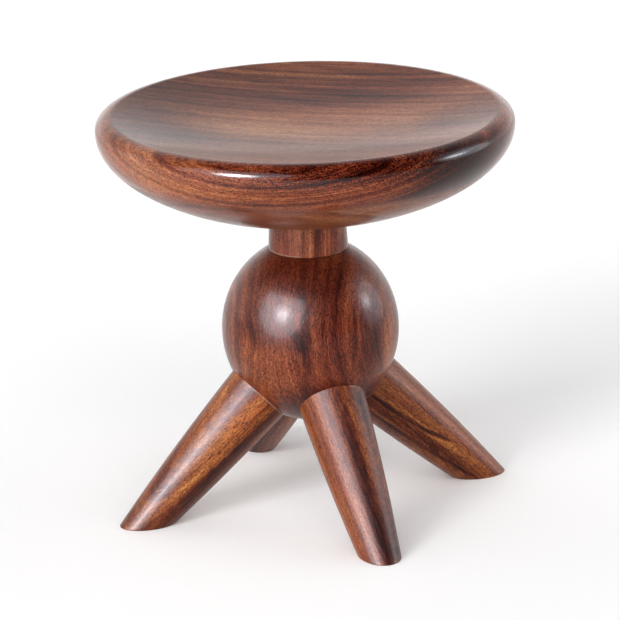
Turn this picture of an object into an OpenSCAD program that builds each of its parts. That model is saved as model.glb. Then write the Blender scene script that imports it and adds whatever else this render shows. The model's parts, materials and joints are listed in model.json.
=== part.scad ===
// Round wooden stool: a dished seat on a turned collar, a ball hub and four splayed legs.
// Everything is glued wood. Each leg ends in a round tenon let into the ball, and one dowel
// runs from the seat through the collar into the ball. Hidden wedges lock the blind ends.
// Millimetres. The origin is on the floor under the middle of the seat, and +Z is up.

/* [Seat] */
// Diameter of the seat at its widest
seat_d = 430; // [370:1:480]
// Depth of the rounded underside, from the widest line down to its lowest point on the axis
belly_h = 96; // [75:1:115]
// Fullness of the underside: 2 is a true ellipse, less is flatter towards the rim
belly_power = 1.78; // [1.6:0.02:2.2]
// Height of the rounded rim, from the widest line up to the crest
rim_h = 14.5; // [9:0.5:22]
// Width of the rounded rim, from the widest line in to the crest
rim_w = 16.5; // [10:0.5:26]
// Radius that rolls the crest over into the dish
crest_r = 8; // [3:0.5:14]
// Depth of the dish in the top
dish_depth = 24; // [8:1:34]
// Width of the flat that is turned round the collar under the seat
seat_pad_rim = 0.6; // [0.4:0.1:6]

/* [Collar] */
// Height of the collar between the ball and the seat
collar_h = 38; // [24:1:70]
// Diameter of the collar where it stands on the ball
collar_d_low = 82.4; // [72:0.2:96]
// Diameter of the collar under the seat
collar_d_top = 78.6; // [68:0.2:92]
// Radius on the two outer edges of the collar
collar_edge_r = 1.2; // [0.5:0.1:4]

/* [Ball] */
// Width of the ball
ball_d = 184; // [172:1:210]
// Height of the ball from pole to pole, before its top is turned flat
ball_h = 194; // [180:1:220]
// Width of the flat that is left round the collar on the ball
ball_flat_rim = 0.4; // [0.2:0.1:4]
// Height of the ball's centre above the point where the legs aim
ball_rise = 6; // [0:0.5:10]

/* [Legs] */
// Height above the floor of the point where the four legs aim
leg_aim_h = 183.5; // [165:0.5:260]
// Angle between each leg and the vertical
leg_splay = 45.8; // [42:0.1:50]
// Diameter of a leg at its shoulder in the ball
leg_d_top = 70; // [58:0.5:72]
// Diameter of a leg where its axis meets the floor
leg_d_foot = 42; // [34:0.5:54]
// How far the middle of a leg swells beyond a straight taper, on the radius
leg_swell = 1.6; // [0:0.1:4]
// Depth of the flat-bottomed seat for the leg's shoulder, below the ball's surface at its edge
leg_let_in = 6; // [4:0.5:10]

/* [Joinery] */
// Diameter of the round tenon on each leg
tenon_d = 32; // [24:1:36]
// Length of the round tenon on each leg
tenon_len = 36; // [30:1:40]
// Chamfer on the end of a tenon and on both ends of the dowel
tenon_chamfer = 1.5; // [0.5:0.1:3]
// Diameter of the dowel that joins the seat, the collar and the ball
dowel_d = 25; // [20:1:32]
// Length of the dowel in the seat
dowel_in_seat = 36; // [26:1:50]
// Length of the dowel in the ball
dowel_in_ball = 42; // [30:1:55]
// Thickness of a leg's wedge at its butt
leg_wedge_t = 5; // [3:0.5:7]
// Length of a leg's wedge inside the tenon
leg_wedge_len = 22; // [14:1:25]
// Thickness of a dowel's wedge at its butt
dowel_wedge_t = 4; // [3:0.5:6]
// Length of a dowel's wedge inside the dowel
dowel_wedge_len = 17; // [12:1:20]
// Width of the saw cut that a wedge is driven into
kerf_w = 1.2; // [0.8:0.1:2]
// How far a saw cut runs on past the tip of its wedge
kerf_spare = 4; // [2:0.5:6]

/* [Clearances] */
// Radial clearance of a tenon, a dowel or a leg's shoulder in its hole
fit_gap = 0.1; // [0.05:0.05:0.3]
// Room for glue between the end of a tenon or dowel and the bottom of its hole
end_gap = 0.5; // [0.3:0.1:1]
// Clearance between a wedge and what it touches
wedge_gap = 0.05; // [0.03:0.01:0.1]

/* [Hidden] */
$fn = 120;

// Wood colours
seat_wood = [0.36, 0.19, 0.13];
hub_wood = [0.42, 0.20, 0.12];
leg_wood = [0.45, 0.22, 0.13];
joinery_wood = [0.62, 0.42, 0.26];

// Directions of the legs around the vertical axis
front_left_angle = 225;
front_right_angle = 315;
back_right_angle = 45;
back_left_angle = 135;
leg_angles = [front_left_angle, front_right_angle, back_right_angle, back_left_angle];

// Directions in an outline, as seen from the centre of an arc
outward_angle = 0;
upward_angle = 90;
downward_angle = 270;

// Number of straight steps in each curved stretch of an outline
belly_steps = 40;
rim_steps = 10;
crest_steps = 4;
dish_steps = 16;
ball_steps = 40;
leg_steps = 14;
edge_steps = 4;

// Small overlap that lets a cutting shape pass clear of the surface that it cuts
over = 1;

// Radii
seat_r = seat_d / 2;
crest_line_r = seat_r - rim_w;
collar_r_low = collar_d_low / 2;
collar_r_top = collar_d_top / 2;
ball_r = ball_d / 2;
ball_half_h = ball_h / 2;
leg_r_top = leg_d_top / 2;
leg_r_foot = leg_d_foot / 2;
tenon_r = tenon_d / 2;
dowel_r = dowel_d / 2;

// Heights, from the floor up
ball_z = leg_aim_h + ball_rise;
ball_flat_r = collar_r_low + ball_flat_rim;
ball_flat_turn = acos(ball_flat_r / ball_r);
ball_flat_z = ball_z + ball_half_h * sin(ball_flat_turn);
seat_pad_r = collar_r_top + seat_pad_rim;
seat_pad_turn = acos(pow(seat_pad_r / seat_r, belly_power / 2));
seat_pad_z = ball_flat_z + collar_h;
widest_z = seat_pad_z + belly_h * sin(seat_pad_turn);
crest_z = widest_z + rim_h;

// The dish is part of a sphere that meets the crest's roll at this slope
dish_slope = 2 * atan(dish_depth / crest_line_r);
dish_r = crest_line_r / sin(dish_slope) - crest_r;

// Distances along a leg, from the point where the legs aim
shoulder_t = sqrt(ball_r * ball_r - leg_r_top * leg_r_top) - leg_let_in;
tenon_end_t = shoulder_t - tenon_len;
mortise_end_t = tenon_end_t - end_gap;
floor_t = leg_aim_h / cos(leg_splay);
leg_past_floor = 1.2 * leg_r_foot * tan(leg_splay);

// Heights of the dowel's two ends
dowel_low_z = ball_flat_z - dowel_in_ball;
dowel_top_z = seat_pad_z + dowel_in_seat;

// Points along part of an ellipse in an outline, from one angle to another
function ellipse_arc(centre, half_w, half_h, from, to, steps) = [
    for (i = [0:steps])
        let (turn = from + (to - from) * i / steps)
            [centre[0] + half_w * cos(turn), centre[1] + half_h * sin(turn)]
];

// Underside of the seat, from the flat pad out to the widest line
function belly_outline() = [
    for (i = [0:belly_steps])
        let (turn = seat_pad_turn * (1 - i / belly_steps))
            [seat_r * pow(cos(turn), 2 / belly_power), widest_z - belly_h * sin(turn)]
];

// Radius of a leg at a distance along its axis
function leg_radius(t) =
    let (q = (t - shoulder_t) / (floor_t - shoulder_t))
        leg_r_top + (leg_r_foot - leg_r_top) * q + 4 * leg_swell * q * (1 - q);

// Side of a leg, from its shoulder to a little below the floor
function leg_outline() = [
    for (i = [0:leg_steps])
        let (t = shoulder_t + (floor_t + leg_past_floor - shoulder_t) * i / leg_steps)
            [leg_radius(t), t]
];

// Saw cut for a wedge, in from the end of a tenon, as the wedge has spread it
function kerf_outline(butt_t, len) = [
    [-butt_t / 2 - wedge_gap, -over],
    [butt_t / 2 + wedge_gap, -over],
    [butt_t / 2 + wedge_gap, 0],
    [kerf_w / 2, len],
    [kerf_w / 2, len + kerf_spare],
    [-kerf_w / 2, len + kerf_spare],
    [-kerf_w / 2, len],
    [-butt_t / 2 - wedge_gap, 0]
];

// Wedge, whose butt stands out of the tenon to the bottom of the hole
function wedge_outline(butt_t, len) =
    let (tip = kerf_w / 2 - wedge_gap, butt = end_gap - wedge_gap)
        [[-butt_t / 2, -butt], [butt_t / 2, -butt], [butt_t / 2, 0], [tip, len], [-tip, len], [-butt_t / 2, 0]];

// Stands an outline up on its edge, so that it is as wide across Y as the tenon
module across(width, outline) {
    rotate([90, 0, 0])
        linear_extrude(height = width, center = true)
            polygon(outline);
}

// Round peg along Z with chamfered ends
module peg(r, low, high, low_chamfer, high_chamfer) {
    rotate_extrude()
        polygon([
            [0, low],
            [r - low_chamfer, low],
            [r, low + low_chamfer],
            [r, high - high_chamfer],
            [r - high_chamfer, high],
            [0, high]
        ]);
}

// Wedge for the end of a tenon or dowel, trimmed to its round
module wedge(r, butt_t, len) {
    intersection() {
        across(2 * r, wedge_outline(butt_t, len));
        translate([0, 0, -end_gap])
            cylinder(h = end_gap + len + over, r = r - tenon_chamfer);
    }
}

// Puts a shape that is made along Z onto the axis of one leg
module on_leg_axis(turn) {
    translate([0, 0, leg_aim_h])
        rotate([0, 180 - leg_splay, turn])
            children();
}

// Turned seat with its dished top and the socket for the dowel
module seat() {
    color(seat_wood)
        difference() {
            rotate_extrude()
                polygon(concat(
                    [[0, seat_pad_z]],
                    belly_outline(),
                    ellipse_arc([crest_line_r, widest_z], rim_w, rim_h, outward_angle, upward_angle, rim_steps),
                    ellipse_arc([crest_line_r, crest_z - crest_r], crest_r, crest_r,
                        upward_angle + dish_slope / crest_steps, upward_angle + dish_slope, crest_steps - 1),
                    ellipse_arc([0, crest_z - dish_depth + dish_r], dish_r, dish_r,
                        downward_angle + dish_slope * (1 - 1 / dish_steps), downward_angle, dish_steps - 1)
                ));
            translate([0, 0, seat_pad_z - over])
                cylinder(h = over + dowel_in_seat + end_gap, r = dowel_r + fit_gap);
        }
}

// Turned collar between the ball and the seat, bored for the dowel
module collar() {
    color(hub_wood)
        difference() {
            rotate_extrude()
                polygon(concat(
                    [[0, ball_flat_z]],
                    ellipse_arc([collar_r_low - collar_edge_r, ball_flat_z + collar_edge_r],
                        collar_edge_r, collar_edge_r, downward_angle - 360, outward_angle, edge_steps),
                    ellipse_arc([collar_r_top - collar_edge_r, seat_pad_z - collar_edge_r],
                        collar_edge_r, collar_edge_r, outward_angle, upward_angle, edge_steps),
                    [[0, seat_pad_z]]
                ));
            translate([0, 0, ball_flat_z - over])
                cylinder(h = collar_h + 2 * over, r = dowel_r + fit_gap);
        }
}

// Ball hub: a slightly tall turned ball with a flat top, four leg mortises and the dowel's socket
module ball_hub() {
    color(hub_wood)
        difference() {
            rotate_extrude()
                polygon(concat(
                    [[0, ball_flat_z]],
                    ellipse_arc([0, ball_z], ball_r, ball_half_h, ball_flat_turn, downward_angle - 360, ball_steps)
                ));
            translate([0, 0, dowel_low_z - end_gap])
                cylinder(h = end_gap + dowel_in_ball + over, r = dowel_r + fit_gap);
            for (turn = leg_angles)
                on_leg_axis(turn)
                    leg_mortise();
        }
}

// Hole for one leg: a round mortise and the flat-bottomed seat for its shoulder
module leg_mortise() {
    translate([0, 0, mortise_end_t])
        cylinder(h = shoulder_t - mortise_end_t + over, r = tenon_r + fit_gap);
    translate([0, 0, shoulder_t])
        cylinder(h = ball_h, r = leg_r_top + fit_gap);
}

// Everything under the floor
module below_floor() {
    size = 4 * (leg_aim_h + seat_d);
    translate([-size / 2, -size / 2, -size])
        cube(size);
}

// One turned leg with its tenon, cut flat at the floor
module leg(turn) {
    color(leg_wood)
        difference() {
            on_leg_axis(turn)
                difference() {
                    union() {
                        peg(tenon_r, tenon_end_t, shoulder_t + over, tenon_chamfer, 0);
                        rotate_extrude()
                            polygon(concat(
                                [[0, shoulder_t]],
                                leg_outline(),
                                [[0, floor_t + leg_past_floor]]
                            ));
                    }
                    translate([0, 0, tenon_end_t])
                        across(tenon_d + over, kerf_outline(leg_wedge_t, leg_wedge_len));
                }
            below_floor();
        }
}

// Wedge in the end of one leg's tenon
module leg_wedge(turn) {
    color(joinery_wood)
        on_leg_axis(turn)
            translate([0, 0, tenon_end_t])
                wedge(tenon_r, leg_wedge_t, leg_wedge_len);
}

// Dowel through the collar, with a saw cut for a wedge in each end
module centre_dowel() {
    color(joinery_wood)
        difference() {
            peg(dowel_r, dowel_low_z, dowel_top_z, tenon_chamfer, tenon_chamfer);
            at_dowel_end(low = true)
                across(dowel_d + over, kerf_outline(dowel_wedge_t, dowel_wedge_len));
            at_dowel_end(low = false)
                across(dowel_d + over, kerf_outline(dowel_wedge_t, dowel_wedge_len));
        }
}

// Puts a shape into the low or the top end of the dowel, pointing inwards
module at_dowel_end(low) {
    if (low)
        translate([0, 0, dowel_low_z])
            children();
    else
        translate([0, 0, dowel_top_z])
            mirror([0, 0, 1])
                children();
}

// Wedge in one end of the dowel
module dowel_wedge(low) {
    color(joinery_wood)
        at_dowel_end(low)
            wedge(dowel_r, dowel_wedge_t, dowel_wedge_len);
}

seat();
collar();
ball_hub();
leg(front_left_angle);  // leg_front_left
leg(front_right_angle);  // leg_front_right
leg(back_right_angle);  // leg_back_right
leg(back_left_angle);  // leg_back_left
centre_dowel();
leg_wedge(front_left_angle);  // leg_wedge_front_left
leg_wedge(front_right_angle);  // leg_wedge_front_right
leg_wedge(back_right_angle);  // leg_wedge_back_right
leg_wedge(back_left_angle);  // leg_wedge_back_left
dowel_wedge(low = false);  // dowel_wedge_top
dowel_wedge(low = true);  // dowel_wedge_bottom
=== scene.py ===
"""Looks of the round wooden stool: turned and oiled hardwood on a pale floor in soft studio light.

Metres. The origin is on the floor under the middle of the seat, and +Z is up.
"""

import json
from math import acos, atan, cos, hypot, pi, radians, sin, sqrt

import bmesh
import bpy
from mathutils import Matrix, Vector


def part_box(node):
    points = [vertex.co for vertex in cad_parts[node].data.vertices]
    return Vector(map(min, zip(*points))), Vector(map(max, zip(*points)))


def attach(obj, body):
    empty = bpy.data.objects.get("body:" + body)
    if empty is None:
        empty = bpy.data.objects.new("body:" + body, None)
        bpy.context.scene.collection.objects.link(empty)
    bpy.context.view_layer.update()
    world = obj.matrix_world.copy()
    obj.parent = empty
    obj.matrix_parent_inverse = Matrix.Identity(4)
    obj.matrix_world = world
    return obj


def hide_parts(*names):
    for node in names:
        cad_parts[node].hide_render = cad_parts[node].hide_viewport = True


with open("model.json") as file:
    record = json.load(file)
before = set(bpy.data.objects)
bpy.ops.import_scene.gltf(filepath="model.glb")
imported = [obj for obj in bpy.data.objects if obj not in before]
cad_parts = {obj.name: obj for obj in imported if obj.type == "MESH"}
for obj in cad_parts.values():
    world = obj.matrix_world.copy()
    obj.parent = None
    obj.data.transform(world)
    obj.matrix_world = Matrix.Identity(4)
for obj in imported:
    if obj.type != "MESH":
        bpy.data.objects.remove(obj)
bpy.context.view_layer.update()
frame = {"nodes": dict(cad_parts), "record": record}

# Camera, fitted to the outlines of the photographed stool
CAMERA_DISTANCE = 4.1472
CAMERA_HEIGHT = 1.5401
CAMERA_TURN = radians(24.97)
CAMERA_PITCH = radians(17.814)
CAMERA_ROLL = radians(-1.562)
IMAGE_WIDTH = 620
FOCAL_PIXELS = 4200
SENSOR_WIDTH = 36
CAMERA_REACH = 60

# Directions as the camera sees the stool, in the stool's own axes
VIEW_RIGHT = Vector((cos(CAMERA_TURN), sin(CAMERA_TURN), 0))
VIEW_BACK = Vector((-sin(CAMERA_TURN), cos(CAMERA_TURN), 0))
VIEW_FRONT = -VIEW_BACK
UP = Vector((0, 0, 1))

# Seat outline
BELLY_POWER = 1.78
RIM_HEIGHT = 0.0145
RIM_WIDTH = 0.0165
CREST_RADIUS = 0.008
DISH_DEPTH = 0.024
SEAT_PAD_RIM = 0.0006

# Collar outline
COLLAR_TOP_R = 0.0393
COLLAR_EDGE_R = 0.0012
BALL_FLAT_RIM = 0.0004

# Legs and joints
LEG_AIM_Z = 0.1835
LEG_TOP_R = 0.035
LEG_FOOT_R = 0.021
LEG_SWELL = 0.0016
LEG_LET_IN = 0.006
FOOT_EDGE = 0.0016
TENON_R = 0.016
TENON_LENGTH = 0.036
TENON_CHAMFER = 0.0015
DOWEL_R = 0.0125
DOWEL_IN_SEAT = 0.036
DOWEL_IN_BALL = 0.042
WEDGE_BUTT = 0.005
WEDGE_LENGTH = 0.022
KERF_WIDTH = 0.0012
KERF_SPARE = 0.004
KERF_MOUTH = TENON_R / 8
KERF_HALF_LENGTH = TENON_R * 1.2
FIT_GAP = 0.0001
END_GAP = 0.0005
WEDGE_GAP = 0.00005

# Steps round each piece
SEAT_SEGMENTS = 240
HUB_SEGMENTS = 168
LEG_SEGMENTS = 96
HOLE_SEGMENTS = 96

# Steps along each outline
BELLY_STEPS = 72
RIM_STEPS = 24
DISH_STEPS = 48
EDGE_STEPS = 8
COLLAR_STEPS = 16
BALL_STEPS = 96
LEG_STEPS = 64
FOOT_STEPS = 5

# Rounds that find where a leg meets the floor, the angle from which an edge shows as sharp, and the
# distance below which two points are one
FLOOR_ROUNDS = 12
SHARP_ANGLE = radians(38)
SAME_PLACE = 1e-7

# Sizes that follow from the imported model
seat_low, seat_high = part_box("seat")
collar_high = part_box("collar")[1]
ball_low, ball_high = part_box("ball_hub")
SEAT_R = seat_high.x
CREST_LINE_R = SEAT_R - RIM_WIDTH
SEAT_PAD_Z = seat_low.z
CREST_Z = seat_high.z
WIDEST_Z = CREST_Z - RIM_HEIGHT
SEAT_PAD_R = COLLAR_TOP_R + SEAT_PAD_RIM
PAD_TURN = acos((SEAT_PAD_R / SEAT_R) ** (BELLY_POWER / 2))
BELLY_HEIGHT = (WIDEST_Z - SEAT_PAD_Z) / sin(PAD_TURN)
COLLAR_LOW_R = collar_high.x
BALL_R = ball_high.x
BALL_FLAT_Z = ball_high.z
BALL_FLAT_R = COLLAR_LOW_R + BALL_FLAT_RIM
BALL_FLAT_TURN = acos(BALL_FLAT_R / BALL_R)
BALL_HALF_HEIGHT = (BALL_FLAT_Z - ball_low.z) / (1 + sin(BALL_FLAT_TURN))
BALL_Z = ball_low.z + BALL_HALF_HEIGHT
SHOULDER_T = sqrt(BALL_R ** 2 - LEG_TOP_R ** 2) - LEG_LET_IN
SOCKET_R = DOWEL_R + FIT_GAP


def blend(a, b, share):
    """The value that lies a share of the way from a to b."""
    return a + (b - a) * share


def arc(centre, half_width, half_height, start, end, steps):
    """Points along part of an ellipse in an outline of (radius, height), from one angle to another."""
    turns = [blend(start, end, i / steps) for i in range(steps + 1)]
    return [(centre[0] + half_width * cos(turn), centre[1] + half_height * sin(turn)) for turn in turns]


def line(start, end, steps):
    """Points along a straight stretch of an outline."""
    shares = [i / steps for i in range(steps + 1)]
    return [(blend(start[0], end[0], share), blend(start[1], end[1], share)) for share in shares]


def joined(*stretches):
    """One outline from stretches that meet end to end, with each shared point kept once."""
    points = []
    for point in (point for stretch in stretches for point in stretch):
        if not points or hypot(point[0] - points[-1][0], point[1] - points[-1][1]) > SAME_PLACE:
            points.append(point)
    return points


def skin(rings, closed=False):
    """A bmesh through rings of points, where a ring of one point is a pole.

    closed joins the last ring to the first.
    """
    shape = bmesh.new()
    rows = [[shape.verts.new(point) for point in ring] for ring in rings]
    pairs = list(zip(rows, rows[1:]))
    if closed:
        pairs.append((rows[-1], rows[0]))
    for low, high in pairs:
        count = max(len(low), len(high))
        for i in range(count):
            j = (i + 1) % count
            corners = [low[i % len(low)], low[j % len(low)], high[j % len(high)], high[i % len(high)]]
            shape.faces.new(dict.fromkeys(corners))
    bmesh.ops.recalc_face_normals(shape, faces=shape.faces)
    return shape


def lathe(outline, segments, closed=False):
    """A bmesh turned about Z from an outline of (radius, height)."""
    rings = []
    for radius, height in outline:
        count = segments if radius > SAME_PLACE else 1
        turns = [2 * pi * i / count for i in range(count)]
        rings.append([Vector((radius * cos(turn), radius * sin(turn), height)) for turn in turns])
    return skin(rings, closed)


def new_object(name, shape):
    """A scene object from a bmesh, smooth but for its sharp edges."""
    mesh = bpy.data.meshes.new(name)
    shape.to_mesh(mesh)
    shape.free()
    mesh.shade_smooth()
    mesh.set_sharp_from_angle(angle=SHARP_ANGLE)
    piece = bpy.data.objects.new(name, mesh)
    bpy.context.scene.collection.objects.link(piece)
    return piece


def cut(piece, shapes):
    """Takes closed bmeshes, which don't touch each other, out of a piece."""
    cutters = bpy.data.meshes.new("cutters")
    tool = bmesh.new()
    for shape in shapes:
        shape.to_mesh(cutters)
        shape.free()
        tool.from_mesh(cutters)
    tool.to_mesh(cutters)
    tool.free()
    cutter = bpy.data.objects.new("cutter", cutters)
    bpy.context.scene.collection.objects.link(cutter)
    modifier = piece.modifiers.new("cut", "BOOLEAN")
    modifier.operation = "DIFFERENCE"
    modifier.solver = "EXACT"
    modifier.object = cutter
    bpy.context.view_layer.update()
    drawn = piece.evaluated_get(bpy.context.evaluated_depsgraph_get())
    whole = bpy.data.meshes.new_from_object(drawn)
    piece.modifiers.remove(modifier)
    old = piece.data
    piece.data = whole
    whole.name = piece.name
    bpy.data.meshes.remove(old)
    bpy.data.objects.remove(cutter)
    bpy.data.meshes.remove(cutters)
    whole.shade_smooth()
    whole.set_sharp_from_angle(angle=SHARP_ANGLE)


class Leg:
    """Axis and side of one leg, from the record's foot mount."""

    def __init__(self, name):
        self.name = name
        mounts = {mount["name"]: mount for mount in frame["record"]["mounts"]}
        foot = Vector(mounts[name.replace("leg", "foot")]["pos_m"])
        self.aim = Vector((0, 0, LEG_AIM_Z))
        self.axis = (foot - self.aim).normalized()
        self.floor_t = (foot - self.aim).length
        self.side = Vector((-foot.y, foot.x, 0)).normalized()
        self.top = self.side.cross(self.axis)

    def radius(self, t):
        """Radius of the visible leg at a distance along its axis."""
        q = (t - SHOULDER_T) / (self.floor_t - SHOULDER_T)
        return blend(LEG_TOP_R, LEG_FOOT_R, q) + 4 * LEG_SWELL * q * (1 - q)

    def point(self, t, radius, turn):
        """A point at a distance along the axis, a radius and a turn from the leg's top side."""
        return self.aim + self.axis * t + (self.top * cos(turn) + self.side * sin(turn)) * radius

    def floor_distance(self, turn):
        """Where the side reaches the floor, as a distance along the axis."""
        t = self.floor_t
        for _ in range(FLOOR_ROUNDS):
            t = (LEG_AIM_Z + self.radius(t) * cos(turn) * self.top.z) / -self.axis.z
        return t


def seat_outline():
    """Seat in section, from the top of the dowel's socket out and round to the middle of the dish."""
    slope = 2 * atan(DISH_DEPTH / CREST_LINE_R)
    dish_r = CREST_LINE_R / sin(slope) - CREST_RADIUS
    dish_z = CREST_Z - DISH_DEPTH
    socket_top = SEAT_PAD_Z + DOWEL_IN_SEAT + END_GAP
    turns = [PAD_TURN * (1 - i / BELLY_STEPS) for i in range(BELLY_STEPS + 1)]
    belly = [(SEAT_R * cos(turn) ** (2 / BELLY_POWER), WIDEST_Z - BELLY_HEIGHT * sin(turn)) for turn in turns]
    return joined(
        [(0, socket_top), (SOCKET_R, socket_top), (SOCKET_R, SEAT_PAD_Z)],
        belly,
        arc((CREST_LINE_R, WIDEST_Z), RIM_WIDTH, RIM_HEIGHT, 0, pi / 2, RIM_STEPS),
        arc((CREST_LINE_R, CREST_Z - CREST_RADIUS), CREST_RADIUS, CREST_RADIUS, pi / 2, pi / 2 + slope,
            EDGE_STEPS),
        arc((0, dish_z + dish_r), dish_r, dish_r, 3 * pi / 2 + slope, 3 * pi / 2, DISH_STEPS)[:-1],
        [(0, dish_z)],
    )


def collar_outline():
    """Collar in section, as a closed loop round its wall."""
    low = (COLLAR_LOW_R - COLLAR_EDGE_R, BALL_FLAT_Z + COLLAR_EDGE_R)
    top = (COLLAR_TOP_R - COLLAR_EDGE_R, SEAT_PAD_Z - COLLAR_EDGE_R)
    side = line((COLLAR_LOW_R, low[1]), (COLLAR_TOP_R, top[1]), COLLAR_STEPS)
    return joined(
        [(SOCKET_R, BALL_FLAT_Z)],
        arc(low, COLLAR_EDGE_R, COLLAR_EDGE_R, -pi / 2, 0, EDGE_STEPS),
        side,
        arc(top, COLLAR_EDGE_R, COLLAR_EDGE_R, 0, pi / 2, EDGE_STEPS),
        [(SOCKET_R, SEAT_PAD_Z)],
    )


def ball_outline():
    """Ball in section, from the bottom of the dowel's socket out and round to the lower pole."""
    socket_bottom = BALL_FLAT_Z - DOWEL_IN_BALL - END_GAP
    return joined(
        [(0, socket_bottom), (SOCKET_R, socket_bottom), (SOCKET_R, BALL_FLAT_Z)],
        arc((0, BALL_Z), BALL_R, BALL_HALF_HEIGHT, BALL_FLAT_TURN, -pi / 2, BALL_STEPS)[:-1],
        [(0, BALL_Z - BALL_HALF_HEIGHT)],
    )


def mortise(leg):
    """What one leg takes out of the ball: a round mortise and the flat-bottomed seat of its shoulder."""
    bottom = SHOULDER_T - TENON_LENGTH - END_GAP
    outside = SHOULDER_T + BALL_R
    sizes = [
        (bottom, TENON_R + FIT_GAP),
        (SHOULDER_T, TENON_R + FIT_GAP),
        (SHOULDER_T, LEG_TOP_R + FIT_GAP),
        (outside, LEG_TOP_R + FIT_GAP),
    ]
    turns = [2 * pi * i / HOLE_SEGMENTS for i in range(HOLE_SEGMENTS)]
    rings = [[leg.point(t, radius, turn) for turn in turns] for t, radius in sizes]
    return skin([[leg.point(bottom, 0, 0)], *rings, [leg.point(outside, 0, 0)]])


def kerf(leg):
    """Saw cut in the end of one tenon, as its wedge has spread it, right across the tenon."""
    end = SHOULDER_T - TENON_LENGTH
    butt = WEDGE_BUTT / 2 + WEDGE_GAP
    half = KERF_WIDTH / 2
    tip = end + WEDGE_LENGTH
    outline = [(end - KERF_MOUTH, butt), (end, butt), (tip, half), (tip + KERF_SPARE, half)]
    loop = outline + [(t, -across) for t, across in reversed(outline)]
    middle = [leg.aim + leg.axis * t + leg.top * across for t, across in loop]
    shape = bmesh.new()
    first, last = (
        [shape.verts.new(point + leg.side * reach) for point in middle]
        for reach in (-KERF_HALF_LENGTH, KERF_HALF_LENGTH))
    shape.faces.new(first)
    shape.faces.new(last)
    for i in range(len(loop)):
        j = (i + 1) % len(loop)
        shape.faces.new([first[i], first[j], last[j], last[i]])
    bmesh.ops.recalc_face_normals(shape, faces=shape.faces)
    return shape


def leg_skin(leg):
    """One leg with its tenon and its foot, which is flat on the floor with an eased edge."""
    turns = [2 * pi * i / LEG_SEGMENTS for i in range(LEG_SEGMENTS)]
    end = SHOULDER_T - TENON_LENGTH
    tenon = [(end, TENON_R - TENON_CHAMFER), (end + TENON_CHAMFER, TENON_R), (SHOULDER_T, TENON_R)]
    rings = [[leg.point(t, radius, turn) for turn in turns] for t, radius in tenon]
    sides = [leg.floor_distance(turn) - FOOT_EDGE for turn in turns]
    for i in range(LEG_STEPS + 1):
        distances = [blend(SHOULDER_T, last, i / LEG_STEPS) for last in sides]
        rings.append([leg.point(t, leg.radius(t), turn) for t, turn in zip(distances, turns)])
    corners = []
    for turn in turns:
        t = leg.floor_distance(turn)
        corners.append(leg.point(t, leg.radius(t), turn))
    foot = sum(corners, Vector()) / len(corners)
    for i in range(1, FOOT_STEPS + 1):
        share = i / FOOT_STEPS
        ring = []
        for start, corner in zip(rings[LEG_STEPS + len(tenon)], corners):
            flat = corner + (foot - corner).normalized() * FOOT_EDGE
            ring.append((1 - share) ** 2 * start + 2 * share * (1 - share) * corner + share ** 2 * flat)
        rings.append(ring)
    rings.append([foot.lerp(point, 0.5) for point in rings[-1]])
    return skin([[leg.point(end, 0, 0)], *rings, [foot]])


class Nodes:
    """Short calls that add nodes to a tree and give back their outputs."""

    def __init__(self, tree):
        self.tree = tree

    def add(self, kind, inputs=(), **settings):
        """A node with these inputs, each a value or a socket, by name or place."""
        node = self.tree.nodes.new(kind)
        for name, value in settings.items():
            setattr(node, name, value)
        for key, value in dict(inputs).items():
            if isinstance(value, bpy.types.NodeSocket):
                self.tree.links.new(value, node.inputs[key])
            else:
                node.inputs[key].default_value = value
        return node

    def math(self, operation, *values):
        """One number from one to three."""
        return self.add("ShaderNodeMath", enumerate(values), operation=operation).outputs[0]

    def dot(self, at, direction):
        """How far a point lies along a direction."""
        node = self.add("ShaderNodeVectorMath", {0: at, 1: direction}, operation="DOT_PRODUCT")
        return node.outputs["Value"]

    def combine(self, x, y, z):
        """A vector from three numbers."""
        return self.add("ShaderNodeCombineXYZ", {0: x, 1: y, 2: z}).outputs[0]

    def scaled(self, at, sizes):
        """A point with each of its three numbers times its own size."""
        node = self.add("ShaderNodeVectorMath", {0: at, 1: sizes}, operation="MULTIPLY")
        return node.outputs["Vector"]

    def length(self, at):
        """Length of a vector."""
        return self.add("ShaderNodeVectorMath", {0: at}, operation="LENGTH").outputs["Value"]

    def shifted(self, at, offset):
        """A point moved by an offset."""
        return self.add("ShaderNodeVectorMath", {0: at, 1: offset}, operation="ADD").outputs["Vector"]

    def noise(self, at, detail, roughness=0.5):
        """Soft noise from 0 to 1 at a point, with features one unit wide."""
        sizes = {"Vector": at, "Scale": 1.0, "Detail": detail, "Roughness": roughness}
        return self.add("ShaderNodeTexNoise", sizes).outputs["Fac"]

    def noise_along(self, w, detail, roughness=0.5):
        """Soft noise from 0 to 1 along one line."""
        sizes = {"W": w, "Scale": 1.0, "Detail": detail, "Roughness": roughness}
        return self.add("ShaderNodeTexNoise", sizes, noise_dimensions="1D").outputs["Fac"]

    def swing(self, noise, strength, base=0.0):
        """A base plus how far a noise lies above its middle, times a strength."""
        return self.math("MULTIPLY_ADD", self.math("SUBTRACT", noise, 0.5), strength, base)

    def between(self, value, low, high, out_low=0.0, out_high=1.0):
        """A value's smooth step between two limits, held outside them."""
        sizes = {0: value, 1: low, 2: high, 3: out_low, 4: out_high}
        return self.add("ShaderNodeMapRange", sizes, interpolation_type="SMOOTHSTEP").outputs[0]

    def mix(self, share, a, b, blend_type="MIX"):
        """Colour between a and b."""
        node = self.add("ShaderNodeMix", {0: share, 6: a, 7: b}, data_type="RGBA", blend_type=blend_type)
        return node.outputs[2]

    def ramp(self, value, stops):
        """Colour from a list of (place, colour)."""
        node = self.add("ShaderNodeValToRGB", {0: value})
        elements = node.color_ramp.elements
        while len(elements) < len(stops):
            elements.new(0.5)
        for element, (place, colour) in zip(elements, stops):
            element.position = place
            element.color = (*colour, 1)
        return node.outputs[0]


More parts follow.
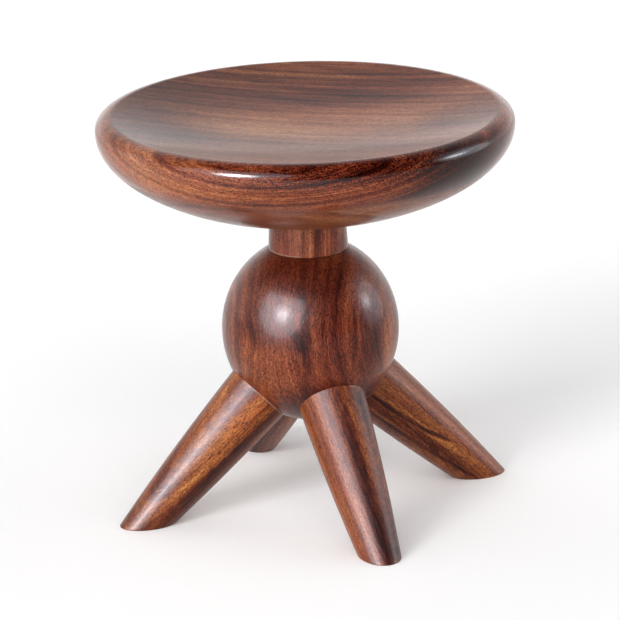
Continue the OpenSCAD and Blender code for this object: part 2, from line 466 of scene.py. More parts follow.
class Streak:
    """A long patch of darker or lighter wood from one point on the surface to another, also used for a few
    patches of painted shade, sheen and reflection.
    """

    def __init__(self, start, end, width, shade, deep, facing, where=None):
        """Its ends and its width in metres, and how much lighter it is as a share of the range of tones.

        deep is its depth as a share of its width, measured along facing, and where gives the share of its
        strength at each point.
        """
        self.centre = (start + end) / 2
        self.along = (end - start).normalized()
        self.facing = (facing - self.along * facing.dot(self.along)).normalized()
        self.side = self.along.cross(self.facing)
        self.halves = (width / 2, width * deep / 2, (end - start).length / 2)
        self.shade = shade
        self.where = where

    def share(self, n, point, wander):
        """How much of the streak there is at a point, from 0 to 1. wander makes its edges uneven."""
        away = n.shifted(point, -self.centre)
        side = n.math("MULTIPLY", n.math("ADD", n.dot(away, self.side), wander), 1 / self.halves[0])
        inward = n.math("MULTIPLY", n.dot(away, self.facing), 1 / self.halves[1])
        far = n.math("MULTIPLY", n.dot(away, self.along), 1 / self.halves[2])
        size = n.length(n.combine(side, inward, far))
        share = n.between(size, 1.0 - STREAK_FADE, 1.0 + STREAK_FADE, 1.0, 0.0)
        return n.math("MULTIPLY", share, self.where(n, point)) if self.where else share


class Swirl:
    """A place where the growth layers bulge round a small knot."""

    def __init__(self, centre, radius, push):
        """Its centre, its radius and how far it pushes the layers, in metres."""
        self.centre = centre
        self.radius = radius
        self.push = push

    def bulge(self, n, point):
        """How far the layers are pushed at a point."""
        away = n.length(n.shifted(point, -self.centre))
        return n.between(away, 0.0, self.radius, self.push, 0.0)


# Wood tones from its dark lines to its palest bands
WOOD_TONES = [
    (0.0, (0.018, 0.0018, 0.0008)),
    (0.25, (0.070, 0.0100, 0.0040)),
    (0.5, (0.150, 0.031, 0.012)),
    (0.75, (0.25, 0.066, 0.026)),
    (1.0, (0.38, 0.125, 0.055)),
]
LEG_TONES = [
    (0.0, (0.018, 0.0018, 0.0006)),
    (0.25, (0.070, 0.0105, 0.0025)),
    (0.5, (0.150, 0.033, 0.008)),
    (0.75, (0.25, 0.070, 0.016)),
    (1.0, (0.38, 0.135, 0.036)),
]
PALE_TONES = [
    (0.0, (0.30, 0.17, 0.09)),
    (0.5, (0.50, 0.32, 0.18)),
    (1.0, (0.62, 0.43, 0.26)),
]
MIDDLE_TONE = 0.5

# Tints of the redder, warmer and dusty zones, painted shade along the joints between pieces, and a painted
# highlight along eased edges
REDDER = (1.0, 0.90, 0.88, 1)
WARMER = (1.02, 1.12, 1.0, 1)
DUSTY = (0.97, 1.2, 1.4, 1)
PAINTED_JOINT_SHADE = (0.05, 0.012, 0.005, 1)
PAINTED_EDGE_HIGHLIGHT = (0.42, 0.26, 0.2, 1)

# Features of each noise in a metre: within a layer across the grain, across the layers, along the grain
DRIFT_SCALE = (11.0, 11.0, 3.0)
RIPPLE_SCALE = (42.0, 42.0, 7.0)
WAVE_SCALE = (150.0, 150.0, 90.0)
FADE_SCALE = (24.0, 24.0, 5.0)
PATCH_SCALE = (17.0, 17.0, 5.0)
STREAK_SCALE = (320.0, 800.0, 55.0)
FLECK_SCALE = (800.0, 800.0, 380.0)
PORE_SCALE = (800.0, 800.0, 200.0)
DOT_SCALE = (800.0, 800.0, 800.0)
WARMTH_SCALE = (20.0, 20.0, 4.0)
HANDLED_SCALE = (14.0, 14.0, 9.0)
SANDED_SCALE = (110.0, 110.0, 60.0)

# Limits between which a noise goes from none to all
FADE_LIMITS = (0.42, 0.62)
PORE_LIMITS = (0.55, 0.75)
DOT_LIMITS = (0.42, 0.58)
WARMTH_LIMITS = (0.35, 0.65)
# The last is where the painted edge highlight fades along the wood
EDGE_HIGHLIGHT_LIMITS = (0.1, 0.6)

# Where a piece's wood starts in its noises, times its seed
GRAIN_START = (3.1, 1.7, 2.3)
BAND_START = 7.3
LINE_START = 5.1
THIN_START = 2.7

# How far the layers drift and ripple, times a piece's sway
DRIFT = 2.0
RIPPLE = 0.5

# Fine lines and thin dark lines to each band, and the level and half the width of the thin ones
LINES_PER_BAND = 4.0
THIN_PER_BAND = 1.7
THIN_LEVEL = 0.42
THIN_HALF = 0.05

# Strengths in the range of tones
BAND_TONE = 0.9
PATCH_TONE = 0.9
THIN_TONE = -0.2
LINE_TONE = 0.5
STREAK_TONE = 1.0

# Share of a hand-placed streak that fades out
STREAK_FADE = 0.5

# Strengths of the finest grain, as shares of the colour
FLECK_CONTRAST = 2.8
FLECK_LIGHTEST = 1.25
PORE_SHADE = -0.15
DOT_DARKEST = -0.7
DOT_LIGHTEST = 0.45

# Reach in metres and strength of the painted shade along joints and of the painted highlight along eased
# edges
CREASE_REACH = 0.0012
CREASE_STRENGTH = 0.6
EDGE_HIGHLIGHT_REACH = (0.0004, 0.0014)
EDGE_HIGHLIGHT_STRENGTH = 0.35

# Roughness added by handling, pores and polish, and heights of the grain
HANDLED_ROUGH = 0.12
PORE_ROUGH = 0.1
POLISHED_ROUGH = -0.13
PORE_HEIGHT = -0.5
GRAIN_HEIGHT = 0.0002

# Finish
COAT_WEIGHT = 0.4
GLAZED_WEIGHT = 1.0
UNGLAZED_WEIGHT = 0.25
GLAZED_SHINE = 1.36
SHEEN_ROUGH = 0.35


class Wood:
    """Oiled wood as a solid texture. A piece names the settings in which it differs from plain wood."""

    # Bands of colour in a metre, and the radius, the sway and the finest waves of the layers in metres
    bands = 75.0
    curve = 0.25
    sway = 0.012
    curl = 0.0

    # Tones, how far the whole is lifted in them, and the strength of bands, fine lines and finest grain
    tones = WOOD_TONES
    lift = 0.0
    figure = 1.0
    lines = 1.0
    speckle = 1.0

    # Streaks and swirls placed one by one, and functions for the distance to joints, along which shade is
    # painted, and to eased edges, along which a highlight is painted
    streaks = ()
    swirls = ()
    shaded_creases = ()
    edges = ()

    # Functions of the place: strength of the figure, strength of dots of end grain, shift of the layers,
    # strength of the dusty tint, and where the wood is smoother and where its finish is thicker
    calm = None
    spots = None
    tilt = None
    dusty = None
    polish = None
    glaze = None

    # Roughness of the wood and of its finish, the refraction of both, the strength of a dusty sheen, the
    # depth of the grain that can be felt, and how uneven the surface is in metres
    gloss = 0.30
    coat = 0.13
    shine = 1.23
    haze = 0.04
    pores = 0.35
    hammered = 0.0002

    def __init__(self, name, along, layer, seed, **settings):
        """along is the direction of the grain, and layer the direction across its growth layers."""
        for setting, value in settings.items():
            setattr(self, setting, value)
        self.seed = seed
        self.material = bpy.data.materials.new(name)
        self.material.use_nodes = True
        tree = self.material.node_tree
        tree.nodes.clear()
        self.n = Nodes(tree)
        self.lay_layers(along.normalized(), layer)
        self.lay_grain()
        shader = self.n.add("ShaderNodeBsdfPrincipled", {
            "Base Color": self.colour(), "Roughness": self.roughness(), "Normal": self.normal(),
            "IOR": self.shine, "Coat Weight": self.coat_weight(), "Coat Roughness": self.coat,
            "Coat IOR": GLAZED_SHINE if self.glaze else self.shine,
            "Sheen Weight": self.haze, "Sheen Roughness": SHEEN_ROUGH})
        output = self.n.add("ShaderNodeOutputMaterial")
        tree.links.new(shader.outputs[0], output.inputs[0])

    def noise(self, scale, detail, roughness=0.5):
        """Soft noise from 0 to 1 in the wood's own axes."""
        return self.n.noise(self.n.scaled(self.grain, scale), detail, roughness)

    def stripes(self, per_metre, start, detail, roughness=0.5):
        """Soft noise from 0 to 1 that changes across the layers alone."""
        place = self.n.math("MULTIPLY_ADD", self.depth, per_metre, self.seed * start)
        return self.n.noise_along(place, detail, roughness)

    def lay_layers(self, along, layer):
        """Places the growth layers, bent round a distant heart and made to wander."""
        n = self.n
        layer = (layer - along * layer.dot(along)).normalized()
        self.point = n.add("ShaderNodeTexCoord").outputs["Object"]
        x = n.dot(self.point, along.cross(layer))
        y = n.dot(self.point, layer)
        z = n.dot(self.point, along)
        self.grain = n.shifted(n.combine(x, y, z), tuple(self.seed * start for start in GRAIN_START))
        wander = n.swing(self.noise(DRIFT_SCALE, detail=1.0), DRIFT * self.sway)
        wander = n.swing(self.noise(RIPPLE_SCALE, detail=1.0), RIPPLE * self.sway, wander)
        self.wander = n.swing(self.noise(WAVE_SCALE, detail=1.0), self.curl, wander)
        from_heart = n.length(n.combine(x, n.math("ADD", y, self.curve), 0.0))
        self.depth = n.math("ADD", n.math("SUBTRACT", from_heart, self.curve), self.wander)
        if self.tilt:
            self.depth = n.math("ADD", self.depth, self.tilt(n, self.point))
        for swirl in self.swirls:
            self.depth = n.math("ADD", self.depth, swirl.bulge(n, self.point))
        self.layered = n.combine(x, self.depth, z)

    def lay_grain(self):
        """Places the long fine streaks, the flecks and pores between them, and where thin lines and the
        painted edge highlight fade.
        """
        n = self.n
        self.streak = n.noise(n.scaled(self.layered, STREAK_SCALE), detail=2.0, roughness=0.6)
        self.fleck = self.noise(FLECK_SCALE, detail=1.0, roughness=0.7)
        self.pore = n.between(self.noise(PORE_SCALE, detail=0.0), *PORE_LIMITS)
        self.fade = n.between(self.noise(FADE_SCALE, detail=1.0), *FADE_LIMITS)

    def tone(self):
        """Place in the range of tones, from bands, thin dark lines, fine streaks and listed ones, a few of
        which are painted shade, sheen and reflection.
        """
        n = self.n
        band = self.stripes(self.bands, BAND_START, detail=1.0)
        line = self.stripes(self.bands * LINES_PER_BAND, LINE_START, detail=3.0, roughness=0.6)
        thin = self.stripes(self.bands * THIN_PER_BAND, THIN_START, detail=1.0)
        off_line = n.math("ABSOLUTE", n.math("SUBTRACT", thin, THIN_LEVEL))
        dark_line = n.math("MULTIPLY", n.between(off_line, 0.0, THIN_HALF, 1.0, 0.0), self.fade)
        tone = n.swing(band, BAND_TONE * self.figure)
        tone = n.swing(self.noise(PATCH_SCALE, detail=2.0), PATCH_TONE * self.figure, tone)
        tone = n.math("MULTIPLY_ADD", dark_line, THIN_TONE * self.figure, tone)
        tone = n.swing(line, LINE_TONE * self.lines, tone)
        tone = n.swing(self.streak, STREAK_TONE * self.lines, tone)
        if self.calm:
            tone = n.math("MULTIPLY", tone, self.calm(n, self.point))
        tone = n.math("ADD", tone, MIDDLE_TONE + self.lift)
        for mark in self.streaks:
            tone = n.math("MULTIPLY_ADD", mark.share(n, self.point, self.wander), mark.shade, tone)
        return tone

    def grit(self):
        """Brightness of the finest grain, from flecks, pores and dots of end grain."""
        n = self.n
        grit = n.math("MINIMUM", n.swing(self.fleck, FLECK_CONTRAST * self.speckle, 1.0), FLECK_LIGHTEST)
        grit = n.math("MULTIPLY_ADD", self.pore, PORE_SHADE * self.speckle, grit)
        if self.calm:
            grit = n.math("MULTIPLY_ADD", n.math("SUBTRACT", grit, 1.0), self.calm(n, self.point), 1.0)
        if self.spots:
            dots = n.between(self.noise(DOT_SCALE, detail=1.0), *DOT_LIMITS, DOT_DARKEST, DOT_LIGHTEST)
            grit = n.math("MULTIPLY_ADD", dots, self.spots(n, self.point), grit)
        return grit

    def colour(self):
        """Colour of the wood, with warmer and redder zones, painted shade along joints and a painted
        highlight along eased edges.
        """
        n = self.n
        grit = self.grit()
        colour = n.mix(1.0, n.ramp(self.tone(), self.tones), n.combine(grit, grit, grit), "MULTIPLY")
        warmth = n.between(self.noise(WARMTH_SCALE, detail=2.0), *WARMTH_LIMITS)
        colour = n.mix(1.0, colour, n.mix(warmth, REDDER, WARMER), "MULTIPLY")
        if self.dusty:
            colour = n.mix(self.dusty(n, self.point), colour, DUSTY, "MULTIPLY")
        # Painted shade along the joints
        for crease in self.shaded_creases:
            near = n.between(crease(n, self.point), 0.0, CREASE_REACH, CREASE_STRENGTH, 0.0)
            colour = n.mix(near, colour, PAINTED_JOINT_SHADE)
        # Painted highlight along eased edges
        for edge in self.edges:
            near = n.between(edge(n, self.point), *EDGE_HIGHLIGHT_REACH, EDGE_HIGHLIGHT_STRENGTH, 0.0)
            colour = n.mix(n.math("MULTIPLY", near, n.between(self.fade, *EDGE_HIGHLIGHT_LIMITS)), colour, PAINTED_EDGE_HIGHLIGHT)
        return colour

    def roughness(self):
        """Roughness of the wood, higher in its pores and uneven where it has been handled."""
        n = self.n
        rough = n.swing(self.noise(HANDLED_SCALE, detail=3.0), HANDLED_ROUGH, self.gloss)
        rough = n.math("MULTIPLY_ADD", self.pore, PORE_ROUGH, rough)
        if self.polish:
            rough = n.math("MULTIPLY_ADD", self.polish(n, self.point), POLISHED_ROUGH, rough)
        return rough

    def normal(self):
        """Direction of the surface, from the grain that can be felt and a slight unevenness."""
        n = self.n
        height = n.math("MULTIPLY_ADD", self.pore, PORE_HEIGHT, n.math("ADD", self.streak, self.fleck))
        felt = n.add("ShaderNodeBump", {"Strength": self.pores, "Distance": GRAIN_HEIGHT, "Height": height})
        sanded = self.noise(SANDED_SCALE, detail=2.0)
        uneven = n.add("ShaderNodeBump", {
            "Strength": 1.0, "Distance": self.hammered, "Height": sanded, "Normal": felt.outputs[0]})
        return uneven.outputs[0]

    def coat_weight(self):
        """Strength of the finish."""
        if not self.glaze:
            return COAT_WEIGHT
        extra = GLAZED_WEIGHT - UNGLAZED_WEIGHT
        return self.n.math("MULTIPLY_ADD", self.glaze(self.n, self.point), extra, UNGLAZED_WEIGHT)


def as_seen(right, back, up):
    """A direction or place in the stool's axes from how it shows in the photo."""
    return VIEW_RIGHT * right + VIEW_BACK * back + UP * up


def streaks_seen(rows, facing=VIEW_FRONT, where=None):
    """Streaks from rows of their two ends as the photo shows them, their width, shade and depth."""
    return [
        Streak(as_seen(*start), as_seen(*end), width, shade, deep, facing, where)
        for start, end, width, shade, deep in rows
    ]


def leg_streak(leg, start, end, width, shade):
    """A streak on a leg's skin, between two places that are each a distance along the axis and a turn."""
    places = [leg.point(t, leg.radius(t), radians(turn)) for t, turn in (start, end)]
    facing = leg.point(0, 1, radians((start[1] + end[1]) / 2)) - leg.aim
    return Streak(*places, width, shade, LEG_STREAK_DEPTH, facing)


def level_distance(n, point):
    """Distance from the stool's upright axis."""
    return n.length(n.scaled(point, (1.0, 1.0, 0.0)))


def ring_crease(radius, height):
    """Distance to a level circle about the stool's axis."""
    def distance(n, point):
        rise = n.math("SUBTRACT", n.dot(point, UP), height)
        out = n.math("SUBTRACT", level_distance(n, point), radius)
        return n.length(n.combine(out, rise, 0.0))
    return distance


def leg_crease(leg):
    """Distance from the ball's surface to the line where it meets one leg."""
    def distance(n, point):
        away = n.shifted(point, -leg.aim)
        behind = n.math("LESS_THAN", n.dot(away, leg.axis), 0.0)
        radius = n.length(n.combine(n.dot(away, leg.top), n.dot(away, leg.side), 0.0))
        gap = n.math("ABSOLUTE", n.math("SUBTRACT", radius, LEG_TOP_R))
        return n.math("ADD", gap, behind)
    return distance


def ball_crease(n, point):
    """Distance from a leg's surface to the ball's."""
    centred = n.shifted(point, (0, 0, -BALL_Z))
    size = n.length(n.scaled(centred, (1 / BALL_R, 1 / BALL_R, 1 / BALL_HALF_HEIGHT)))
    return n.math("MULTIPLY", n.math("ABSOLUTE", n.math("SUBTRACT", size, 1.0)), BALL_R)


# Step from the dish to the rim, and from the calm figure of the dish to the full one of the rim
RIM_STEP = (CREST_LINE_R - 0.002, CREST_LINE_R + 0.004)
CALM_STEP = (CREST_LINE_R - 0.008, CREST_LINE_R + 0.004)
CALM_FIGURE = 0.75

# Direction in which the layers of the dish lie deeper, and by how much
DISH_TILT = as_seen(0.17, 0.715, 0.04)

# Dots of end grain on the rim: the middle of their stretch, where they thin out to its sides, their least
# strength and the height at which they start
SPOTS_MIDDLE = 0.05
SPOTS_SIDES = (0.08, 0.17)
SPOTS_LEAST = 0.1
SPOTS_HEIGHT = (0.388, 0.408)

# Thicker finish on the rim: its left end, its right end, how far forward and how high it starts
GLAZE_LEFT = (-0.20, -0.16)
GLAZE_RIGHT = (0.0, 0.08)
GLAZE_FRONT = (0.08, 0.13)
GLAZE_HEIGHT = (0.390, 0.404)


def on_rim(n, point):
    """1 on the rim and the belly and 0 in the dish."""
    return n.between(level_distance(n, point), *RIM_STEP)


def in_dish(n, point):
    """1 in the dish and 0 on the rim and the belly."""
    return n.math("SUBTRACT", 1.0, on_rim(n, point))


def dish_calm(n, point):
    """Strength of the seat's figure, which is weaker in the dish than on the rim."""
    return n.between(level_distance(n, point), *CALM_STEP, CALM_FIGURE, 1.0)


def dish_tilt(n, point):
    """Shift of the layers that makes the stripes of the dish run straighter than those of the belly."""
    return n.math("MULTIPLY", in_dish(n, point), n.dot(point, DISH_TILT))


def rim_spots(n, point):
    """Strength of the dots on the seat's rim, which fade out down its belly and towards its sides."""
    sideways = n.math("ABSOLUTE", n.math("SUBTRACT", n.dot(point, VIEW_RIGHT), SPOTS_MIDDLE))
    spread = n.between(sideways, *SPOTS_SIDES, 1.0, SPOTS_LEAST)
    high = n.between(n.dot(point, UP), *SPOTS_HEIGHT)
    return n.math("MULTIPLY", on_rim(n, point), n.math("MULTIPLY", high, spread))


def rim_glaze(n, point):
    """Where the seat's finish is thicker: along the left of the front of its rim, above the belly."""
    right = n.dot(point, VIEW_RIGHT)
    ends = n.math("MULTIPLY", n.between(right, *GLAZE_LEFT), n.between(right, *GLAZE_RIGHT, 1.0, 0.0))
    front = n.between(n.dot(point, VIEW_FRONT), *GLAZE_FRONT)
    high = n.between(n.dot(point, UP), *GLAZE_HEIGHT)
    return n.math("MULTIPLY", on_rim(n, point), n.math("MULTIPLY", high, n.math("MULTIPLY", ends, front)))


def finish_piece(piece, node, wood):
    """Puts a piece in its node's place with its own wood."""
    piece.data.materials.clear()
    piece.data.materials.append(wood.material)
    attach(piece, "root")
    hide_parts(node)


legs = [Leg(name) for name in ("leg_front_left", "leg_front_right", "leg_back_right", "leg_back_left")]
# Circles where the collar meets the ball and the seat, along which shade is painted, and round the collar's
# eased lower edge, along which a highlight is painted
collar_foot = ring_crease(COLLAR_LOW_R, BALL_FLAT_Z)
collar_head = ring_crease(COLLAR_TOP_R, SEAT_PAD_Z)
collar_edge = ring_crease(COLLAR_LOW_R, BALL_FLAT_Z + COLLAR_EDGE_R)

# Streaks by their two ends as (right, back, up) in metres, width, shade and depth: dark heartwood along the
# right of the rim, paler wood along its left, a painted reflection of the floor low on the left of the belly,
# and soft stripes across the dish
RIM_STREAKS = [
    ((0.05, -0.24, 0.412), (0.25, -0.05, 0.408), 0.030, -0.32, 2.5),
    ((0.12, -0.20, 0.392), (0.24, -0.06, 0.400), 0.046, -0.16, 2.5),
    ((0.00, -0.20, 0.362), (0.20, -0.11, 0.388), 0.030, -0.33, 2.5),
    ((0.00, -0.212, 0.410), (0.17, -0.128, 0.414), 0.024, -0.26, 2.0),
    ((0.02, -0.22, 0.385), (0.24, -0.08, 0.402), 0.016, -0.12, 4.0),
    ((-0.26, -0.08, 0.405), (-0.06, -0.23, 0.395), 0.036, 0.14, 2.0),
    ((-0.176, -0.110, 0.420), (-0.070, -0.195, 0.412), 0.012, 0.24, 2.0),
    ((-0.24, -0.14, 0.380), (0.06, -0.19, 0.365), 0.046, 0.13, 2.0),
    # Painted reflection of the floor, low on the left of the belly
    ((-0.22, -0.05, 0.385), (0.02, -0.14, 0.335), 0.050, 0.22, 2.0),
]
DISH_STREAKS = [
    ((-0.30, 0.12, 0.41), (0.12, 0.12, 0.41), 0.15, -0.24, 1.0),
    ((-0.25, 0.01, 0.41), (-0.11, -0.07, 0.41), 0.14, -0.28, 1.0),
    ((0.12, 0.00, 0.41), (0.22, -0.02, 0.41), 0.10, -0.14, 1.0),
    ((-0.06, 0.158, 0.410), (0.15, 0.072, 0.410), 0.018, -0.16, 1.0),
    ((0.00, 0.193, 0.418), (0.17, 0.110, 0.418), 0.014, -0.14, 1.0),
    ((-0.06, 0.125, 0.405), (0.12, 0.045, 0.405), 0.014, -0.10, 1.0),
    ((-0.20, 0.060, 0.412), (-0.02, 0.020, 0.400), 0.024, -0.10, 1.0),
    ((-0.12, 0.045, 0.402), (0.14, 0.010, 0.405), 0.10, 0.30, 1.0),
]
COLLAR_STREAKS = [
    ((0.009, -0.04, 0.270), (0.009, -0.04, 0.345), 0.009, -0.12, 3.0),
    ((0.024, -0.03, 0.270), (0.024, -0.03, 0.345), 0.012, 0.12, 3.0),
    ((-0.010, -0.04, 0.270), (-0.010, -0.04, 0.345), 0.012, 0.15, 3.0),
]
BALL_STREAKS = [
    ((-0.001, -0.09, 0.270), (-0.004, -0.09, 0.150), 0.011, -0.28, 4.0),
    ((-0.014, -0.09, 0.215), (-0.006, -0.09, 0.190), 0.012, -0.35, 4.0),
    ((-0.045, -0.075, 0.240), (-0.038, -0.08, 0.195), 0.050, -0.18, 2.0),
    ((0.046, -0.08, 0.270), (0.043, -0.08, 0.120), 0.004, -0.15, 6.0),
    ((0.060, -0.07, 0.250), (0.062, -0.07, 0.165), 0.022, -0.25, 3.0),
    # Painted shade low on the front of the ball, above the floor
    ((-0.04, -0.07, 0.115), (0.06, -0.07, 0.125), 0.060, -0.32, 3.0),
    ((0.024, -0.08, 0.285), (0.022, -0.08, 0.105), 0.036, -0.16, 2.0),
    ((-0.07, -0.06, 0.262), (0.07, -0.07, 0.262), 0.034, -0.16, 2.0),
    ((-0.075, -0.06, 0.225), (-0.050, -0.075, 0.195), 0.014, -0.15, 3.0),
    ((-0.050, -0.07, 0.215), (-0.045, -0.07, 0.105), 0.060, 0.12, 2.0),
    # Paler down the right edge of the ball: partly the wood's tone, partly a painted sheen
    ((0.082, -0.04, 0.23), (0.078, -0.04, 0.12), 0.014, 0.25, 3.0),
]

# Streaks of each leg by (distance along its axis, turn) of their ends, width and shade
LEG_STREAK_DEPTH = 1.5
LEG_STREAKS = {
    "leg_front_left": [
        ((0.070, 105), (0.230, 104), 0.017, 0.30),
        ((0.070, 168), (0.160, 168), 0.012, 0.15),
        ((0.060, 62), (0.270, 64), 0.020, -0.36),
        ((0.190, 140), (0.280, 135), 0.024, -0.12),
        ((0.070, 130), (0.150, 135), 0.010, -0.10),
    ],
    "leg_front_right": [
        ((0.070, 184), (0.300, 186), 0.014, -0.34),
        ((0.075, 173), (0.300, 175), 0.004, 0.15),
        ((0.070, 145), (0.300, 145), 0.016, -0.12),
        ((0.070, -92), (0.300, -92), 0.014, 0.16),
        ((0.090, -140), (0.300, -145), 0.016, -0.12),
        ((0.220, 150), (0.310, 150), 0.040, -0.20),
    ],
    "leg_back_right": [
        ((0.085, -74), (0.165, -90), 0.006, -0.65),
        ((0.155, -86), (0.195, -106), 0.005, -0.60),
        ((0.095, -81), (0.215, -98), 0.009, 0.32),
        ((0.080, -62), (0.240, -78), 0.013, -0.30),
        ((0.110, -44), (0.260, -72), 0.006, -0.55),
        ((0.090, -50), (0.240, -62), 0.006, 0.25),
    ],
    "leg_back_left": [
        ((0.080, 20), (0.250, 30), 0.012, -0.25),
        ((0.080, 60), (0.250, 66), 0.016, 0.15),
    ],
}

# Refraction of each leg's wood, and how far it is lifted in its tones
LEG_SHINE = {"leg_front_left": 1.245, "leg_front_right": 1.245, "leg_back_right": 1.22, "leg_back_left": 1.22}
LEG_LIFT = {"leg_front_left": 0.05, "leg_front_right": 0.02, "leg_back_right": -0.03, "leg_back_left": 0.0}

# Seat, with painted shade round the top of the collar under it and a painted reflection of the floor on its
# belly
seat = new_object("turned_seat", lathe(seat_outline(), SEAT_SEGMENTS))
finish_piece(seat, "seat", Wood(
    "seat_wood", as_seen(0.978, -0.208, 0), as_seen(-0.086, -0.405, 0.91), seed=1.0,
    bands=130.0, curve=0.6, sway=0.004, lift=0.07, figure=0.9, lines=0.9, speckle=1.15,
    streaks=streaks_seen(RIM_STREAKS, where=on_rim) + streaks_seen(DISH_STREAKS, facing=UP, where=in_dish),
    shaded_creases=[collar_head], calm=dish_calm, spots=rim_spots, tilt=dish_tilt, dusty=in_dish, polish=on_rim,
    glaze=rim_glaze, haze=0.0, pores=0.12, hammered=0.00012))

# Collar, with painted shade at its top under the seat and a painted highlight along its eased lower edge
collar = new_object("turned_collar", lathe(collar_outline(), HUB_SEGMENTS, closed=True))
finish_piece(collar, "collar", Wood(
    "collar_wood", as_seen(0.02, 0.03, 1), as_seen(1, 0.35, 0), seed=2.0,
    bands=130.0, curve=0.1, sway=0.003, lift=0.09, figure=0.8, streaks=streaks_seen(COLLAR_STREAKS),
    shaded_creases=[collar_head], edges=[collar_edge]))

# Ball, with dark stripes down its front and a swirl beside them, painted shade low on its front and along its
# joints with the collar and the legs, and paler wood down its right edge that is partly a painted sheen
ball = new_object("turned_ball", lathe(ball_outline(), HUB_SEGMENTS))
cut(ball, [mortise(leg) for leg in legs])
ball_swirls = [
    Swirl(as_seen(-0.008, -0.088, 0.222), radius=0.022, push=0.007),
    Swirl(as_seen(-0.062, -0.066, 0.200), radius=0.030, push=-0.010),
    Swirl(as_seen(-0.055, -0.060, 0.135), radius=0.040, push=0.012),
]
finish_piece(ball, "ball_hub", Wood(
    "ball_wood", as_seen(-0.05, 0.1, 1), as_seen(1, 0.35, 0), seed=3.0,
    bands=110.0, curve=0.12, sway=0.010, curl=0.005, lift=-0.05, figure=0.5, lines=0.75, speckle=1.2,
    streaks=streaks_seen(BALL_STREAKS), swirls=ball_swirls,
    shaded_creases=[collar_foot, *(leg_crease(leg) for leg in legs)], haze=0.02))

# Legs, each with a painted highlight along its edge at the ball
for number, leg in enumerate(legs):
    piece = new_object("turned_" + leg.name, leg_skin(leg))
    cut(piece, [kerf(leg)])
    finish_piece(piece, leg.name, Wood(
        leg.name + "_wood", leg.axis + leg.side * 0.02, leg.side + leg.top * 0.4, seed=4.0 + number,
        bands=110.0, curve=0.08, sway=0.006, curl=0.002, tones=LEG_TONES, lift=LEG_LIFT[leg.name],
        figure=0.7, lines=0.9, speckle=1.2, edges=[ball_crease],
        streaks=[leg_streak(leg, *sizes) for sizes in LEG_STREAKS[leg.name]],
        gloss=0.42, coat=0.22, shine=LEG_SHINE[leg.name], haze=0.02, hammered=0.0003))

# Dowel and wedges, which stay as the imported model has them
joinery = Wood(
    "joinery_wood", UP, Vector((1, 0, 0)), seed=9.0, bands=200.0, curve=0.05, sway=0.002, tones=PALE_TONES)
for name, node in frame["nodes"].items():
    if "wedge" in name or "dowel" in name:
        node.data.materials.clear()
        node.data.materials.append(joinery.material)

# Floor
FLOOR_HALF = 14.0
FLOOR_COLOUR = (0.95, 0.95, 0.95, 1)
FLOOR_ROUGH = 0.85
FLOOR_GLOSS = 0.1
floor_shape = bmesh.new()
corners = [(-FLOOR_HALF, -FLOOR_HALF), (FLOOR_HALF, -FLOOR_HALF), (FLOOR_HALF, FLOOR_HALF),
           (-FLOOR_HALF, FLOOR_HALF)]
floor_shape.faces.new([floor_shape.verts.new((x, y, 0)) for x, y in corners])
floor = new_object("floor", floor_shape)
floor_material = bpy.data.materials.new("floor_paint")
floor_material.use_nodes = True
paint = floor_material.node_tree.nodes["Principled BSDF"]
paint.inputs["Base Color"].default_value = FLOOR_COLOUR
paint.inputs["Roughness"].default_value = FLOOR_ROUGH
paint.inputs["Specular IOR Level"].default_value = FLOOR_GLOSS
floor.data.materials.append(floor_material)


def lit_from(name, left_turn, elevation, strength, angle, colour):
    """A soft round light far away, its place given as a turn to the left of the camera and a height."""
    light = bpy.data.lights.new(name, "SUN")
    light.energy = strength
    light.angle = radians(angle)
    light.color = colour
    holder = bpy.data.objects.new(name, light)
    bpy.context.scene.collection.objects.link(holder)
    turn = radians(left_turn)
    height = radians(elevation)
    towards = as_seen(-sin(turn) * cos(height), -cos(turn) * cos(height), sin(height))
    holder.rotation_euler = towards.to_track_quat("Z", "Y").to_euler()
    return holder


def keep_off(lamp, piece):
    """Makes a light leave one piece out."""
    left_out = bpy.data.collections.new(lamp.name + "_leaves_out")
    left_out.objects.link(piece)
    left_out.collection_objects[0].light_linking.link_state = "EXCLUDE"
    lamp.light_linking.receiver_collection = left_out


# Lights by name, turn, elevation, strength, angle and colour: those that gloss leaves out, and those for
# gloss alone
WHITE = (1.0, 1.0, 1.0)
BLUISH = (0.84, 0.91, 1.0)
COOL = (0.86, 0.93, 1.0)
SOFT_LIGHTS = [
    ("key_softbox", 40, 24, 1.55, 22, WHITE),
    ("key_wide", 40, 26, 0.75, 60, WHITE),
    ("front_fill", 0, 30, 1.45, 60, WHITE),
    ("left_fill", 85, 30, 0.45, 60, WHITE),
    ("right_fill", -50, 30, 0.7, 60, WHITE),
    ("side_fill", -95, 25, 0.65, 50, WHITE),
    ("back_left_fill", 130, 30, 0.4, 70, WHITE),
    ("back_right_fill", -140, 30, 0.15, 70, WHITE),
]
GLOSS_LIGHTS = [
    ("key_haze", 43, 28, 11.7, 60, BLUISH),
    ("key_veil", 43, 28, 1.8, 60, BLUISH),
    ("key_sheen", 40, 25, 2.3, 24, BLUISH),
    ("key_centre", 40, 25, 2.7, 13, BLUISH),
    ("side_haze", -98, 14, 1.5, 40, COOL),
    ("side_high", -103, 32, 0.3, 30, COOL),
    ("side_sheen", -91, 20, 0.7, 16, COOL),
    ("side_centre", -91, 20, 0.35, 8, COOL),
    ("left_haze", 95, 8, 0.35, 50, BLUISH),
]
for row in SOFT_LIGHTS:
    lit_from(*row).visible_glossy = False
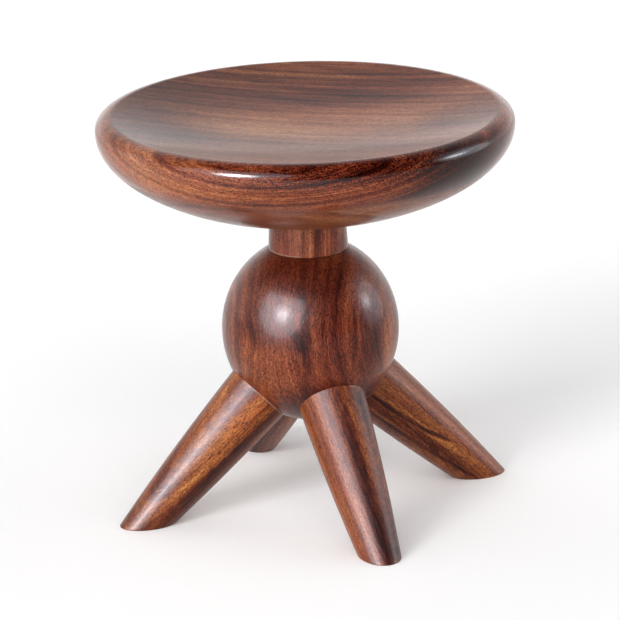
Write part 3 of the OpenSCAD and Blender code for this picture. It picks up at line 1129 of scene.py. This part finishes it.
gloss_lights = {row[0]: lit_from(*row) for row in GLOSS_LIGHTS}
for lamp in gloss_lights.values():
    lamp.visible_diffuse = False

# The dish would throw the wide gloss light straight back to someone behind the stool
keep_off(gloss_lights["key_haze"], seat)

# Bright wall behind the stool: its direction, where it ends to the sides and at the top, the height from
# which it is evenly bright, and its brightness at the floor and above that height
WALL_TOWARDS = as_seen(-0.1, 0.99, 0)
WALL_SIDES = (-0.1, 0.5)
WALL_TOP = (0.5, 1.0)
WALL_RISE = 0.45
WALL_LOW = 1.5
WALL_HIGH = 0.8
world = bpy.data.worlds.new("studio")
bpy.context.scene.world = world
world.use_nodes = True
world.node_tree.nodes.clear()
sky = Nodes(world.node_tree)
direction = sky.add("ShaderNodeTexCoord").outputs["Generated"]
behind = sky.between(sky.dot(direction, WALL_TOWARDS), *WALL_SIDES)
rise = sky.dot(direction, UP)
glow = sky.between(rise, 0.0, WALL_RISE, WALL_LOW, WALL_HIGH)
fall = sky.between(rise, *WALL_TOP, 1.0, 0.0)
level = sky.math("MULTIPLY", behind, sky.math("MULTIPLY", glow, fall))
sky_colour = sky.combine(level, level, level)
background = sky.add("ShaderNodeBackground", {"Color": sky_colour, "Strength": 1.0})
world_output = sky.add("ShaderNodeOutputWorld")
world.node_tree.links.new(background.outputs[0], world_output.inputs[0])

# Camera
camera_data = bpy.data.cameras.new("camera")
camera_data.sensor_width = SENSOR_WIDTH
camera_data.lens = FOCAL_PIXELS / IMAGE_WIDTH * SENSOR_WIDTH
camera_data.clip_end = CAMERA_REACH
camera = bpy.data.objects.new("camera", camera_data)
bpy.context.scene.collection.objects.link(camera)
place = Matrix.Translation(VIEW_BACK * -CAMERA_DISTANCE + UP * CAMERA_HEIGHT)
turned = Matrix.Rotation(CAMERA_TURN, 4, "Z") @ Matrix.Rotation(pi / 2 - CAMERA_PITCH, 4, "X")
camera.matrix_world = place @ turned @ Matrix.Rotation(CAMERA_ROLL, 4, "Z")
bpy.context.scene.camera = camera

bpy.context.scene.view_settings.view_transform = "Standard"
